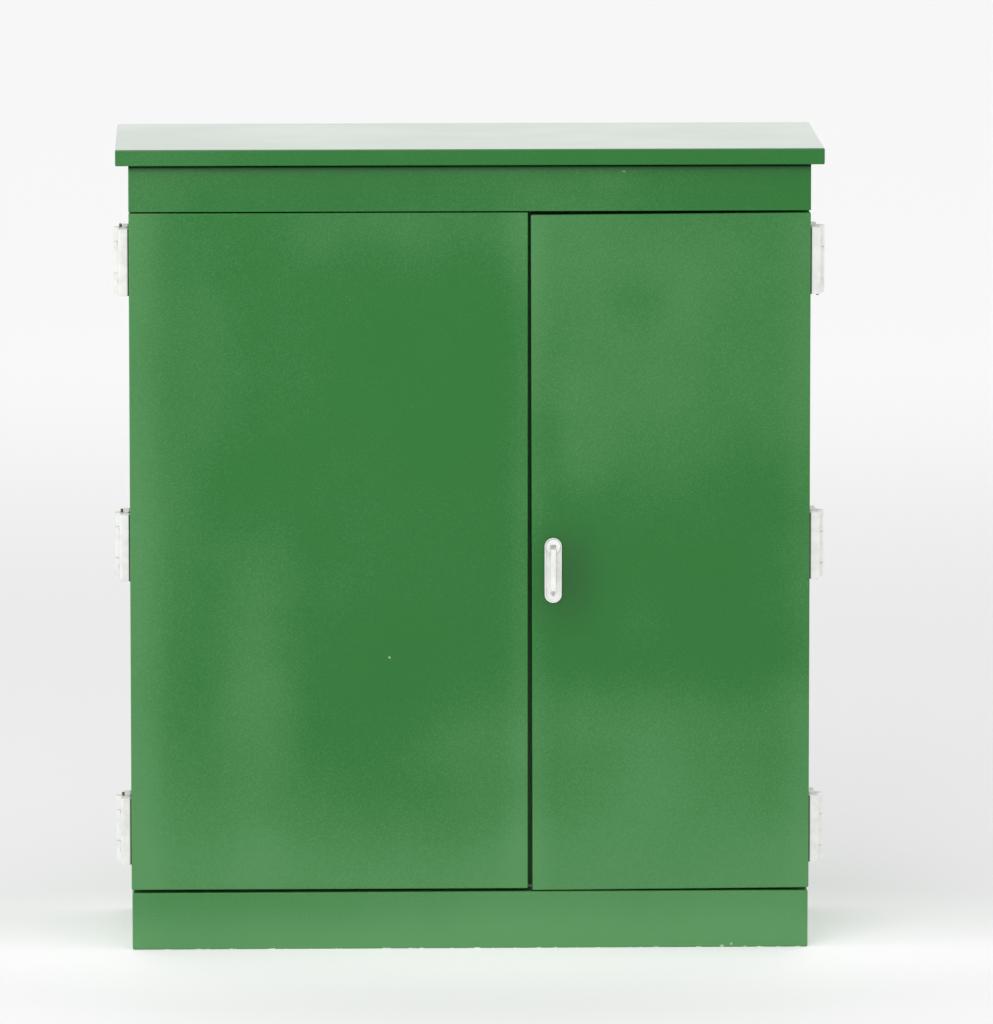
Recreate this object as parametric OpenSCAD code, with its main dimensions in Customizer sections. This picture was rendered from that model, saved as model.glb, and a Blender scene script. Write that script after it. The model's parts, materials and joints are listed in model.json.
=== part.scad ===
// Two-door roadside utility cabinet on a plinth, with a flat overhanging roof, block hinges on both
// sides, a folding handle with a rod lock, and the switchgear that such a cabinet holds.
// Millimetres. +Z up, doors facing -Y, origin under the middle of the footprint.

/* [Cabinet] */
// Width over the side panels
cabinet_w = 1000; // [830:1:1250]
// Depth from the door fronts to the back panel
cabinet_d = 370; // [308:1:460]
// Height from the ground to the top of the roof
cabinet_h = 1188; // [990:1:1430]
// Thickness of the carcass sheet
sheet = 2; // [1.5:0.1:2.4]

/* [Roof] */
// Height of the roof's rim
roof_h = 24; // [20:0.5:30]
// How far the roof stands out past the walls
roof_overhang = 19; // [16:0.5:23]
// Thickness of the roof sheet
roof_sheet = 2.5; // [2:0.1:3]

/* [Header and plinth] */
// Height of the fixed header over the doors
header_h = 69; // [57:1:83]
// Height of the plinth
plinth_h = 85; // [70:1:102]
// Thickness of the plinth sheet
plinth_sheet = 3; // [2.5:0.1:3.6]
// Setback of the plinth from the walls
plinth_inset = 1; // [0.8:0.1:1.2]
// Width of the plinth's flanges
plinth_flange = 50; // [42:1:60]
// Diameter of the ground anchor holes
anchor_d = 14; // [11:0.5:17]
// Distance from the end of the plinth to the anchor holes
anchor_in = 50; // [42:1:60]

/* [Doors] */
// Width of the left door
left_door_w = 585; // [490:1:700]
// Thickness of a door
door_t = 36; // [34:1:43]
// Thickness of the door sheet
door_skin = 2; // [1.6:0.1:2.4]
// Width of the folded lip round the back of a door
door_lip = 14; // [13:0.5:17]
// Gap over the left door
left_top_gap = 2; // [1.6:0.1:2.4]
// Gap under the left door
left_bottom_gap = 4.5; // [3.8:0.1:5.4]
// Gap between the doors at the top
door_gap = 4; // [3.4:0.1:4.8]
// How much wider that gap is at the bottom
door_lean = 2.7; // [2.2:0.1:3.2]
// Gap over the right door at its hinges
right_top_gap = 3.4; // [2.9:0.1:4]
// Gap under the right door at its free edge
right_bottom_gap = 1.6; // [1.4:0.1:1.9]
// How far the right door's free edge hangs down
right_drop = 2.4; // [2:0.1:2.8]
// Gap between the back of a door and the frame
frame_gap = 4; // [3.4:0.1:4.8]
// Distance from a door's edge to its seal
seal_in = 2.5; // [2:0.1:3]
// Width of the seal
seal_w = 7; // [6:0.5:8]
// Space between the seal and the frame
seal_clear = 0.3; // [0.25:0.05:0.4]

/* [Frame] */
// How far the head and sill rails reach past a door's edge
frame_lip = 22; // [19:0.5:26]
// Width of a side panel's front lip
side_lip = 30; // [25:1:36]
// Mullion's reach behind the left door
mullion_left = 13; // [11:0.5:13]
// Mullion's reach behind the right door
mullion_right = 10; // [9.5:0.5:11]
// Depth of the mullion
mullion_d = 25; // [21:1:30]

/* [Hinges] */
// Height of a hinge
hinge_h = 98.5; // [84:0.5:118]
// From the header down to the middle of the upper hinge
hinge_top_in = 74.8; // [62:0.1:90]
// From the plinth up to the middle of the lower hinge
hinge_bottom_in = 91.2; // [76:0.1:110]
// Distance from the side of the cabinet to the hinge axis
hinge_axis_out = 12; // [11.2:0.1:14.4]
// Outer radius of a knuckle
knuckle_r = 10.2; // [8.5:0.1:10.8]
// Height of a hinge's short end knuckle
knuckle_short = 20.5; // [17:0.5:25]
// Height of a hinge's middle knuckle
knuckle_mid = 46.5; // [39:0.5:56]
// Width of the door leaf
door_leaf_w = 15.4; // [12.8:0.1:18.5]
// Width of the body leaf
body_leaf_w = 11; // [9:0.1:11.6]
// Length of the body leaf
body_leaf_l = 36; // [30:1:43]
// Rounding of the leaves
leaf_round = 4; // [3.4:0.1:4.8]
// Radius of the hinge pin
pin_r = 3; // [2.5:0.1:3.6]
// Length of the pin's bare end
pin_end = 5; // [4:0.5:6]

/* [Handle] */
// Width of the handle's dish
dish_w = 25; // [24:0.5:30]
// Length of the handle's dish
dish_l = 96; // [88:1:115]
// How far the dish stands out from the door
dish_out = 6; // [5:0.2:7]
// Width of the dish's rim
dish_rim = 1.6; // [1.4:0.1:1.9]
// Depth of the dish
dish_depth = 4; // [3.4:0.1:4.8]
// From the door's free edge to the middle of the handle
handle_in = 33; // [30:0.5:40]
// From the plinth up to the middle of the handle
handle_up = 479; // [400:1:575]
// Width of the lever
lever_w = 7.5; // [6.5:0.1:9]
// Length of the lever
lever_l = 62; // [52:1:66]
// Thickness of the lever
lever_t = 4.5; // [3.8:0.1:5.4]
// Radius of the lock's plug
plug_r = 3; // [2.5:0.1:3.6]

/* [Rod lock] */
// Radius of the spindle
spindle_r = 6; // [5:0.1:7]
// Distance from the spindle to the cam's pins
cam_r = 14; // [12:0.1:14.5]
// Radius of the cam's pins
cam_pin_r = 3; // [2.5:0.1:3.4]
// Reach of the cam's hook
hook_r = 32; // [30:0.5:34]
// Thickness of the cam and the rods
cam_t = 3; // [2.5:0.1:3.4]
// Width of a rod
rod_w = 10; // [8.5:0.5:12]
// Width of a door's edge rail
edge_rail_w = 48; // [42:1:56]
// Travel of the left door's bolts
bolt_travel = 20; // [17:1:22]

/* [Inside] */
// Distance from the back panel to the mounting plates
plate_off = 33; // [28:1:40]
// Height of a breaker
breaker_h = 90; // [75:1:108]
// Width of a breaker
breaker_w = 54; // [45:1:60]
// Depth of a breaker
breaker_d = 68; // [57:1:78]
// Width of a mounting rail
rail_w = 35; // [30:1:42]
// Radius of the cable holes
cable_r = 20; // [17:0.5:24]
// Spacing of the cable holes
cable_pitch = 56; // [52:1:67]

/* [Hidden] */
$fn = 48;
free = 0.5;
fit = 0.05;
front = -cabinet_d / 2;
back = cabinet_d / 2;
half_w = cabinet_w / 2;
wall_top = cabinet_h - roof_h;
head_z = wall_top - header_h;
door_back = front + door_t;
frame_y = door_back + frame_gap;
rail_back = frame_y + sheet;
inner_y = back - sheet;
floor_top = plinth_h + plinth_sheet;
split_x = -half_w + left_door_w;
free_top_x = split_x + door_gap;
free_bottom_x = free_top_x + door_lean;
mullion_x = [split_x - mullion_left, free_top_x + mullion_right];
rail_z = [plinth_h + 3 + frame_lip, head_z - frame_lip];

axis_x = half_w + hinge_axis_out;
axis_y = (door_back + frame_y) / 2;
hinge_z = [
    head_z - hinge_top_in,
    (head_z - hinge_top_in + plinth_h + hinge_bottom_in) / 2,
    plinth_h + hinge_bottom_in
];
hinge_names = ["upper", "middle", "lower"];
knuckle_gap = 0.5;
leaf_clear = knuckle_r + 0.8;

handle_x = free_top_x + handle_in;
handle_z = plinth_h + handle_up;
spindle_z = handle_z + (dish_l - dish_w) / 2;
dish_face = front - dish_out;
dish_floor = dish_face + dish_depth;
dish_back = front + 20;
pocket_w = dish_w - 2 * dish_rim;
rotor_r = pocket_w / 2 - free;
rotor_floor = dish_floor + 3;
lever_back = dish_face - free;
lever_top = spindle_z - 3.5;
lever_pin_z = lever_top - 3;
lever_pin_y = dish_face + 1.6;
lever_hub_r = 2.1;
lever_pin_r = 1;
slot_w = lever_w + 2 * free;
plug_z = handle_z - dish_l / 2 + dish_w / 2 + 0.5;

cam_y = rail_back + 1;
rod_y = cam_y + cam_t + 1;
rod_back = rod_y + cam_t;
cam_s = cam_r * sin(45);
rod_dx = (cam_r + cam_s) / 2;
slot_half = (cam_r - cam_s) / 2 + cam_pin_r + 0.8;
slot_high = cam_pin_r + 0.9;
yoke_half = slot_half + 2.6;
yoke_high = slot_high + 3.5;
rod_reach = 2 * cam_s;
rod_clear = 6;
rod_top = rail_z[1] - rod_clear;
rod_bottom = rail_z[0] + rod_clear;
guide_h = 16;
guide_wall = 3.5;
guide_back = rod_back + 4;
edge_rail_x = free_bottom_x + door_lip;
left_rail_x = split_x - door_lip - edge_rail_w;
bolt_w = 14;
bolt_l = 100 + bolt_travel;
bolt_x = left_rail_x + edge_rail_w / 2;
knob_r = 5;

plate_y = inner_y - plate_off;
plate_face = plate_y - sheet;
plate_z = [floor_top + 190, wall_top - 60];
left_plate = [-half_w + 40, mullion_x[0] - 25];
right_plate = [mullion_x[1] + 25, half_w - 40];
rail_depth = 7.5;
rail_face = plate_face - rail_depth;
upper_rail_z = plate_z[1] - 150;
lower_rail_z = plate_z[0] + 170;
left_mid = (left_plate[0] + left_plate[1]) / 2;
right_mid = (right_plate[0] + right_plate[1]) / 2;
breaker_gap = 8;
toggle_w = 30;
toggle_r = 7;
toggle_y = rail_face - breaker_d + toggle_r + 1;
terminal_w = 8;
terminal_h = 44;
terminal_d = 46;
switch_w = 90;
switch_h = 120;
switch_d = 70;
knob_face = plate_face - switch_d;
gland_x = left_mid;
cable_y = 0;
gland_half = [2 * cable_pitch, cable_r + 35];

// ---- Shapes that repeat ----

// The two ends of a span, from its middle and half its length
function about(mid, half) = [mid - half, mid + half];

module box(x, y, z) {
    translate([x[0], y[0], z[0]]) cube([x[1] - x[0], y[1] - y[0], z[1] - z[0]]);
}

// A flat outline in X and Z, made solid from y[0] to y[1]
module slab(y) {
    translate([0, y[1], 0]) rotate([90, 0, 0]) linear_extrude(y[1] - y[0]) children();
}

module pin_y(x, z, r, y) {
    translate([x, y[1], z]) rotate([90, 0, 0]) cylinder(h = y[1] - y[0], r = r);
}

module pin_z(x, y, r, z) {
    translate([x, y, z[0]]) cylinder(h = z[1] - z[0], r = r);
}

module stadium(w, l) {
    square([w, l - w], center = true);
    for (end = [-1, 1]) translate([0, end * (l - w) / 2]) circle(d = w);
}

function left_outline(e) = [
    [-half_w + e, plinth_h + left_bottom_gap + e], [split_x - e, plinth_h + left_bottom_gap + e],
    [split_x - e, head_z - left_top_gap - e], [-half_w + e, head_z - left_top_gap - e]
];
function right_outline(e) = [
    [half_w - e, plinth_h + right_bottom_gap + right_drop + e], [half_w - e, head_z - right_top_gap - e],
    [free_top_x + e, head_z - right_top_gap - right_drop - e],
    [free_bottom_x + e, plinth_h + right_bottom_gap + e]
];
function outline(side, e) = side < 0 ? left_outline(e) : right_outline(e);

// ---- Carcass ----

module plinth() {
    x = half_w - plinth_inset;
    y = -front - plinth_inset;
    color("forestgreen") difference() {
        box([-x, x], [-y, y], [0, plinth_h]);
        box([plinth_sheet - x, x - plinth_sheet], [plinth_sheet - y, y - plinth_sheet],
            [plinth_sheet, plinth_h - plinth_sheet]);
        box([plinth_flange - x, x - plinth_flange], [plinth_flange - y, y - plinth_flange],
            [-1, plinth_h + 1]);
        for (sx = [-1, 1], sy = [-1, 1])
            pin_z(sx * (x - anchor_in), sy * (y - plinth_flange / 2), anchor_d / 2, [-1, plinth_sheet + 1]);
    }
}

module floor_pan() {
    color("gainsboro") difference() {
        box([sheet - half_w, half_w - sheet], [frame_y, inner_y], [plinth_h, floor_top]);
        box([gland_x - gland_half[0] + 15, gland_x + gland_half[0] - 15],
            [cable_y - gland_half[1] + 15, cable_y + gland_half[1] - 15], [plinth_h - 1, floor_top + 1]);
    }
}

module gland_plate() {
    color("silver") difference() {
        box([gland_x - gland_half[0], gland_x + gland_half[0]],
            [cable_y - gland_half[1], cable_y + gland_half[1]], [floor_top, floor_top + sheet]);
        for (i = [-1, 0, 1])
            pin_z(gland_x + i * cable_pitch, cable_y, cable_r, [floor_top - 1, floor_top + sheet + 1]);
    }
}

module side_panel(side) {
    color("forestgreen") scale([side, 1, 1]) {
        box([half_w - sheet, half_w], [frame_y, back], [plinth_h, wall_top]);
        box([half_w - side_lip, half_w - sheet], [frame_y, rail_back], [floor_top, wall_top - sheet]);
    }
}

module back_panel() {
    color("forestgreen") box([sheet - half_w, half_w - sheet], [inner_y, back], [plinth_h, wall_top]);
}

module ceiling() {
    color("gainsboro") box([sheet - half_w, half_w - sheet], [frame_y, inner_y], [wall_top - sheet, wall_top]);
}

module frame_rail(z) {
    color("forestgreen") box([side_lip - half_w, half_w - side_lip], [frame_y, rail_back], z);
}

module head_rail() frame_rail([rail_z[1], wall_top - sheet]);

module sill_rail() frame_rail([floor_top, rail_z[0]]);

module mullion() {
    slot_z = [spindle_z - cam_pin_r - 4, spindle_z + hook_r - 4];
    color("forestgreen") difference() {
        union() {
            box(mullion_x, [frame_y, rail_back], rail_z);
            for (x = [mullion_x[0], mullion_x[1] - sheet])
                box([x, x + sheet], [rail_back, frame_y + mullion_d], [floor_top, wall_top - sheet]);
        }
        box([mullion_x[1] - sheet - 1, mullion_x[1] + 1], [rail_back, cam_y + cam_t + 2 * free], slot_z);
    }
}

module header_fascia() {
    z = [head_z, wall_top];
    color("forestgreen") {
        box([-half_w, half_w], [front, front + sheet], z);
        for (x = [-half_w, half_w - sheet]) box([x, x + sheet], [front + sheet, frame_y], z);
        for (lip = [[z[0], z[0] + sheet], [z[1] - sheet, z[1]]])
            box([sheet - half_w, half_w - sheet], [front + sheet, frame_y], lip);
    }
}

module roof_cap() {
    x = half_w + roof_overhang;
    y = -front + roof_overhang;
    rest = roof_overhang + 12;
    color("mediumseagreen") difference() {
        box([-x, x], [-y, y], [wall_top, cabinet_h]);
        box([roof_sheet - x, x - roof_sheet], [roof_sheet - y, y - roof_sheet],
            [wall_top + roof_sheet, cabinet_h - roof_sheet]);
        box([rest - x, x - rest], [rest - y, y - rest], [wall_top - 1, wall_top + roof_sheet + 1]);
    }
}

// ---- Hinges: drawn for the right side, and mirrored and turned over for the left ----

// Heights at which the three knuckles start and end, from the short end
knuckle_z = [0, knuckle_short, knuckle_short + knuckle_mid, hinge_h];

module hinge_place(side, i) {
    translate([side * axis_x, axis_y, hinge_z[i] + side * -hinge_h / 2]) scale([side, 1, side]) children();
}

module knuckle(k, r) {
    z = [knuckle_z[k] + (k > 0 ? knuckle_gap / 2 : 0), knuckle_z[k + 1] - (k < 2 ? knuckle_gap / 2 : 0)];
    translate([0, 0, z[0]]) cylinder(h = z[1] - z[0], r = r);
}

module rounded_leaf(w, y) {
    r = leaf_round;
    linear_extrude(hinge_h) {
        translate([0, y[0] + r]) square([w, y[1] - y[0] - 2 * r]);
        translate([0, y[0]]) square([w - r, y[1] - y[0]]);
        for (end = [y[0] + r, y[1] - r]) translate([w - r, end]) circle(r = r);
    }
}

module door_leaf(side, i) {
    color("gainsboro") hinge_place(side, i) difference() {
        union() {
            translate([-hinge_axis_out, 0, 0])
                rounded_leaf(door_leaf_w, [front + 3 - axis_y, -leaf_clear]);
            knuckle(1, knuckle_r);
            translate([-hinge_axis_out + 1.2, -leaf_clear - 1, knuckle_z[1] + knuckle_gap / 2])
                cube([knuckle_r, leaf_clear + 1, knuckle_mid - knuckle_gap]);
        }
        translate([0, 0, -1]) cylinder(h = hinge_h + 2, r = pin_r + fit);
    }
}

module body_leaf(side, i) {
    color("gainsboro") hinge_place(side, i) difference() {
        union() {
            translate([-hinge_axis_out, 0, 0]) rounded_leaf(body_leaf_w, [leaf_clear, leaf_clear + body_leaf_l]);
            for (k = [0, 2]) {
                z = [knuckle_z[k] + (k > 0 ? knuckle_gap / 2 : 0), knuckle_z[k + 1] - (k < 2 ? knuckle_gap / 2 : 0)];
                knuckle(k, knuckle_r);
                translate([-hinge_axis_out + 1.2, 0, z[0]]) cube([7, leaf_clear + 1, z[1] - z[0]]);
            }
        }
        translate([0, 0, -1]) cylinder(h = hinge_h + 2, r = pin_r + fit);
    }
}

module hinge_pins(side) {
    color("dimgray") for (i = [0:2]) hinge_place(side, i) {
        cylinder(h = hinge_h - 1, r = pin_r);
        translate([0, 0, -pin_end]) cylinder(h = pin_end, r = pin_r - 1);
    }
}

// ---- Doors ----

module door(side) {
    color("forestgreen") difference() {
        slab([front, door_back]) polygon(outline(side, 0));
        slab([front + door_skin, door_back - door_skin]) polygon(outline(side, door_skin));
        slab([door_back - door_skin - 1, door_back + 1]) polygon(outline(side, door_lip));
        if (side > 0)
            translate([handle_x, front + door_skin + 1, handle_z]) rotate([90, 0, 0])
                linear_extrude(door_skin + 2) stadium(dish_w - 6 + 2 * free, dish_l - 6 + 2 * free);
    }
}

// A channel down the free edge of a door, which carries the rods or the bolts
module edge_rail(side) {
    x0 = side < 0 ? left_rail_x : edge_rail_x;
    far = side < 0 ? x0 : x0 + edge_rail_w - sheet;
    z = [plinth_h + left_bottom_gap + door_lip, head_z - right_top_gap - right_drop - door_lip];
    color("gainsboro") difference() {
        union() {
            box([x0, x0 + edge_rail_w], [door_back - door_skin, door_back], z);
            box([far, far + sheet], [front + door_skin, door_back - door_skin], z);
        }
        if (side > 0) pin_y(handle_x, spindle_z, spindle_r + 1, [door_back - 5, door_back + 1]);
    }
}

module seal(side) {
    y = [door_back, frame_y - seal_clear];
    color("dimgray") difference() {
        slab(y) polygon(outline(side, seal_in));
        slab([y[0] - 1, y[1] + 1]) polygon(outline(side, seal_in + seal_w));
    }
}

// ---- Handle and rod lock ----

module handle_dish() {
    color("whitesmoke") difference() {
        union() {
            translate([handle_x, front, handle_z]) rotate([90, 0, 0]) linear_extrude(dish_out)
                stadium(dish_w, dish_l);
            translate([handle_x, dish_back, handle_z]) rotate([90, 0, 0])
                linear_extrude(dish_back - front) stadium(dish_w - 6, dish_l - 6);
        }
        translate([handle_x, dish_floor, handle_z]) rotate([90, 0, 0]) linear_extrude(dish_depth + 1)
            stadium(pocket_w, dish_l - 2 * dish_rim);
        pin_y(handle_x, spindle_z, spindle_r + 1.5 + fit, [dish_floor - 1, rotor_floor + fit]);
        pin_y(handle_x, spindle_z, spindle_r + fit, [dish_floor - 1, dish_back + 1]);
        pin_y(handle_x, plug_z, plug_r + fit, [dish_floor - 1, dish_back + 1]);
    }
}

module handle_rotor() {
    color("whitesmoke") difference() {
        union() {
            pin_y(handle_x, spindle_z, rotor_r, [dish_face + 0.3, dish_floor - 0.1]);
            pin_y(handle_x, spindle_z, spindle_r + 1.5, [dish_floor - 0.2, rotor_floor]);
            pin_y(handle_x, spindle_z, spindle_r, [rotor_floor - 1, cam_y + cam_t]);
        }
        box([handle_x - slot_w / 2, handle_x + slot_w / 2], [dish_face - 1, lever_pin_y + lever_hub_r + 1],
            [lever_pin_z - 20, spindle_z + 2.5]);
        translate([handle_x - rotor_r, lever_pin_y, lever_pin_z]) rotate([0, 90, 0])
            cylinder(h = 2 * rotor_r, r = lever_pin_r + fit);
    }
}

module handle_lever() {
    x = [handle_x - lever_w / 2, handle_x + lever_w / 2];
    color("whitesmoke") difference() {
        union() {
            box(x, [lever_back - lever_t, lever_back], [lever_top - lever_l, lever_top]);
            translate([x[0], lever_pin_y, lever_pin_z]) rotate([0, 90, 0])
                cylinder(h = lever_w, r = lever_hub_r);
            box(x, [lever_back - 1, lever_pin_y], [lever_pin_z - 2, lever_pin_z + 2]);
            for (z = [lever_top - lever_l + 5, lever_top - lever_l + 10])
                box(x, [lever_back - lever_t - 0.8, lever_back - lever_t + 0.5], about(z, 1));
        }
        translate([x[0] - 1, lever_pin_y, lever_pin_z]) rotate([0, 90, 0])
            cylinder(h = lever_w + 2, r = lever_pin_r + fit);
    }
}

module lever_pin() {
    l = 2 * sqrt(pow(rotor_r, 2) - pow(spindle_z - lever_pin_z + lever_pin_r, 2)) - 1;
    color("silver") translate([handle_x - l / 2, lever_pin_y, lever_pin_z]) rotate([0, 90, 0])
        cylinder(h = l, r = lever_pin_r);
}

module lock_plug() {
    color("dimgray") difference() {
        pin_y(handle_x, plug_z, plug_r, [dish_floor - 1.5, dish_back]);
        box([handle_x - 0.5, handle_x + 0.5], [dish_floor - 3, dish_floor + 5], about(plug_z, plug_r * 0.7));
    }
}

// A pad and an arm from the spindle to a point on the cam
module cam_arm(angle, r, pad) {
    translate([handle_x, cam_y + cam_t, spindle_z]) rotate([90, 0, 0]) linear_extrude(cam_t) rotate(angle) {
        translate([0, -pad]) square([r, 2 * pad]);
        translate([r, 0]) circle(r = pad);
    }
}

module cam_plate() {
    pad = cam_pin_r + 2;
    color("silver") {
        difference() {
            union() {
                pin_y(handle_x, spindle_z, spindle_r + 4, [cam_y, cam_y + cam_t]);
                for (angle = [-45, 135]) cam_arm(angle, cam_r, pad);
                cam_arm(90, hook_r - pad, pad);
            }
            pin_y(handle_x, spindle_z, spindle_r + fit, [cam_y - 1, cam_y + cam_t + 1]);
        }
        for (side = [-1, 1])
            pin_y(handle_x + side * cam_s, spindle_z - side * cam_s, cam_pin_r, [cam_y + cam_t, rod_back + 1]);
    }
}

// side 1 is the rod that rises, side -1 the rod that drops
module rod(side) {
    x = handle_x + side * rod_dx;
    yoke_z = spindle_z - side * cam_s;
    tip = side > 0 ? rod_top : rod_bottom;
    color("silver") difference() {
        union() {
            box([x - yoke_half, x + yoke_half], [rod_y, rod_back], about(yoke_z, yoke_high));
            box([x - rod_w / 2, x + rod_w / 2], [rod_y, rod_back], [min(yoke_z, tip), max(yoke_z, tip)]);
        }
        box([x - slot_half, x + slot_half], [rod_y - 1, rod_back + 1], about(yoke_z, slot_high));
    }
}

// A block on a door's edge rail with a slot for a flat bar
module slide_guide(x, z, w) {
    difference() {
        box([x - w / 2 - guide_wall, x + w / 2 + guide_wall], [door_back, guide_back], [z, z + guide_h]);
        box([x - w / 2 - free, x + w / 2 + free], [rod_y - free, rod_back + free], [z - 1, z + guide_h + 1]);
    }
}

module rod_guides() {
    color("dimgray") for (end = [[1, spindle_z + 50], [1, rod_top - 40 - guide_h],
                                 [-1, spindle_z - 50 - guide_h], [-1, rod_bottom + 40]])
        slide_guide(handle_x + end[0] * rod_dx, end[1], rod_w);
}

module bolt(side) {
    tip = side > 0 ? rod_top : rod_bottom;
    heel = tip - side * bolt_l;
    color("silver") {
        box([bolt_x - bolt_w / 2, bolt_x + bolt_w / 2], [rod_y, rod_back], [min(tip, heel), max(tip, heel)]);
        pin_y(bolt_x, tip - side * 75, knob_r, [rod_back, rod_back + 12]);
    }
}

module bolt_guides() {
    color("dimgray") for (side = [-1, 1], down = [10, 95])
        slide_guide(bolt_x, (side > 0 ? rod_top : rod_bottom) - side * (down + guide_h / 2) - guide_h / 2, bolt_w);
}

// ---- Inside ----

module mounting_plate(span) {
    color("gainsboro") box(span, [plate_face, plate_y], plate_z);
}

module standoffs() {
    color("silver") for (span = [left_plate, right_plate], x = [span[0] + 25, span[1] - 25],
                         z = [plate_z[0] + 25, plate_z[1] - 25])
        pin_y(x, z, 7, [plate_y, inner_y]);
}

module rail_profile() {
    lip = 5;
    polygon([
        [0, lip], [0, rail_w - lip], [-rail_depth + 1, rail_w - lip], [-rail_depth + 1, rail_w],
        [-rail_depth, rail_w], [-rail_depth, rail_w - lip - 1], [-1, rail_w - lip - 1], [-1, lip + 1],
        [-rail_depth, lip + 1], [-rail_depth, 0], [-rail_depth + 1, 0], [-rail_depth + 1, lip]
    ]);
}

module mounting_rail(span, z) {
    translate([span[0] + 20, plate_face, z - rail_w / 2]) rotate([90, 0, 90])
        linear_extrude(span[1] - span[0] - 40) rail_profile();
}

module mounting_rails() {
    color("silver") {
        mounting_rail(left_plate, upper_rail_z);
        mounting_rail(left_plate, lower_rail_z);
    }
}

function breaker_x(i) = left_mid + (i - 1) * (breaker_w + breaker_gap);

module breakers() {
    y = [rail_face - breaker_d, rail_face];
    nose = 20;
    color("whitesmoke") for (i = [0:2]) difference() {
        union() {
            box(about(breaker_x(i), breaker_w / 2), [y[0] + nose, y[1]], about(upper_rail_z, breaker_h / 2));
            box(about(breaker_x(i), breaker_w / 2), [y[0], y[0] + nose], about(upper_rail_z, breaker_h / 4));
        }
        box(about(breaker_x(i), toggle_w / 2 + free), [y[0] - 1, toggle_y + toggle_r + 1],
            about(upper_rail_z, toggle_r + 1));
    }
}

// The toggle hangs down at rest and swings up
module toggle(i) {
    x = about(breaker_x(i), toggle_w / 2);
    color("dimgray") {
        translate([x[0], toggle_y, upper_rail_z]) rotate([0, 90, 0]) cylinder(h = toggle_w, r = toggle_r);
        translate([x[0], toggle_y, upper_rail_z]) rotate([25, 0, 0])
            translate([1, -toggle_r - 8, -2.5]) cube([toggle_w - 2, toggle_r + 8, 5]);
    }
}

module terminal_row() {
    count = floor((left_plate[1] - left_plate[0] - 80) / terminal_w);
    color("lightslategray") for (i = [0:count - 1]) {
        x = left_plate[0] + 40 + i * terminal_w;
        box([x, x + terminal_w - 0.6], [rail_face - terminal_d, rail_face],
            about(lower_rail_z, terminal_h / 2));
    }
}

module main_switch() {
    color("dimgray") box(about(right_mid, switch_w / 2), [knob_face, plate_face],
        about(upper_rail_z, switch_h / 2));
}

module switch_knob() {
    color("firebrick") {
        pin_y(right_mid, upper_rail_z, 24, [knob_face - 8, knob_face - 0.5]);
        box(about(right_mid, 7), [knob_face - 24, knob_face - 7], about(upper_rail_z, 22));
    }
}

module earth_bar() {
    z = plate_z[0] + 60;
    span = [left_plate[0] + 60, left_plate[1] - 60];
    count = floor((span[1] - span[0] - 40) / 25);
    color("peru") {
        box(span, [plate_face - 25, plate_face - 20], about(z, 10));
        for (x = [span[0] + 5, span[1] - 25]) box([x, x + 20], [plate_face - 20, plate_face], about(z, 10));
        for (i = [0:count - 1]) pin_y(span[0] + 30 + i * 25, z, 5, [plate_face - 30, plate_face - 25]);
    }
}

// ---- Nodes ----

plinth();
floor_pan();
gland_plate();
side_panel(-1);  // side_panel_left
side_panel(1);  // side_panel_right
back_panel();
ceiling();
head_rail();
sill_rail();
mullion();
header_fascia();
roof_cap();
body_leaf(-1, 0);  // body_leaf_left_upper
body_leaf(-1, 1);  // body_leaf_left_middle
body_leaf(-1, 2);  // body_leaf_left_lower
body_leaf(1, 0);  // body_leaf_right_upper
body_leaf(1, 1);  // body_leaf_right_middle
body_leaf(1, 2);  // body_leaf_right_lower
door_leaf(-1, 0);  // door_leaf_left_upper
door_leaf(-1, 1);  // door_leaf_left_middle
door_leaf(-1, 2);  // door_leaf_left_lower
door_leaf(1, 0);  // door_leaf_right_upper
door_leaf(1, 1);  // door_leaf_right_middle
door_leaf(1, 2);  // door_leaf_right_lower
hinge_pins(-1);  // hinge_pins_left
hinge_pins(1);  // hinge_pins_right
door(-1);  // door_left
door(1);  // door_right
edge_rail(-1);  // edge_rail_left
edge_rail(1);  // edge_rail_right
seal(-1);  // seal_left
seal(1);  // seal_right
handle_dish();
handle_rotor();
handle_lever();
lever_pin();
lock_plug();
cam_plate();
rod(1);  // rod_upper
rod(-1);  // rod_lower
rod_guides();
bolt(1);  // bolt_top
bolt(-1);  // bolt_bottom
bolt_guides();
mounting_plate(left_plate);  // mounting_plate_left
mounting_plate(right_plate);  // mounting_plate_right
standoffs();
mounting_rails();
breakers();
toggle(0);  // toggle_left
toggle(1);  // toggle_middle
toggle(2);  // toggle_right
terminal_row();
main_switch();
switch_knob();
earth_bar();
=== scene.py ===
# %% [markdown]
# # A roadside utility cabinet
# A green two-door street cabinet in folded sheet steel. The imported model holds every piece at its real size;
# this file gives each one its edges, its fixings and its finish. It is read from top to bottom: first the
# frame, then the camera and the light, then the finishes, then the pieces from the outside in.

# %% Load the frame
import json
import math

import bmesh
import bpy
from mathutils import Matrix, Vector


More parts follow.
